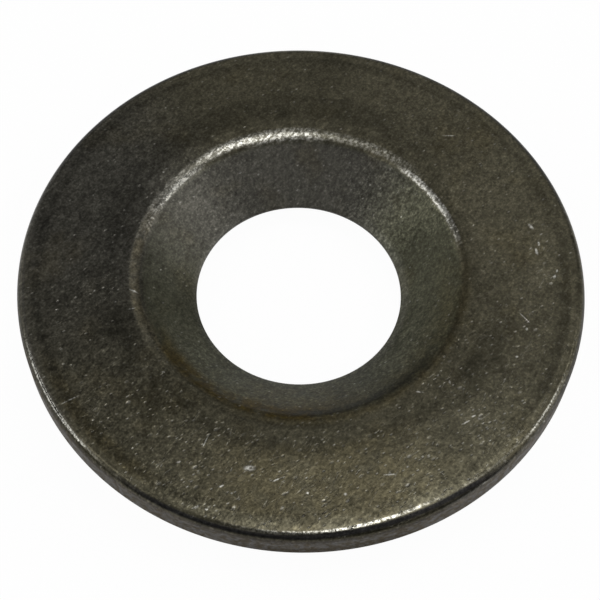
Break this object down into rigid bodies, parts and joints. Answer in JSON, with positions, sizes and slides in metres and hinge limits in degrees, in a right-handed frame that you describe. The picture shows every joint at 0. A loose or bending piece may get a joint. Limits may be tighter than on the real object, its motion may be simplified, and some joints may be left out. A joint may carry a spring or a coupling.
{
  "type": "washer",
  "caption": "Pressed dark steel washer with a flat round flange drawn down into a conical dish, for seating a countersunk screw head.",
  "frame": {"origin": "on the axis of the hole, level with the lower edge of the dish on which the washer stands", "axes": "+Z along the axis of the hole, towards the open side of the dish; X and Y lie in the plane of the flange"},
  "size_m": [0.03, 0.03, 0.0041],
  "materials": {
    "dark_steel": "dark tumbled steel, satin, with fine specks, nicks and bright worn edges"
  },
  "bodies": {
    "root": {"washer": "dark_steel"}
  },
  "joints": []
}
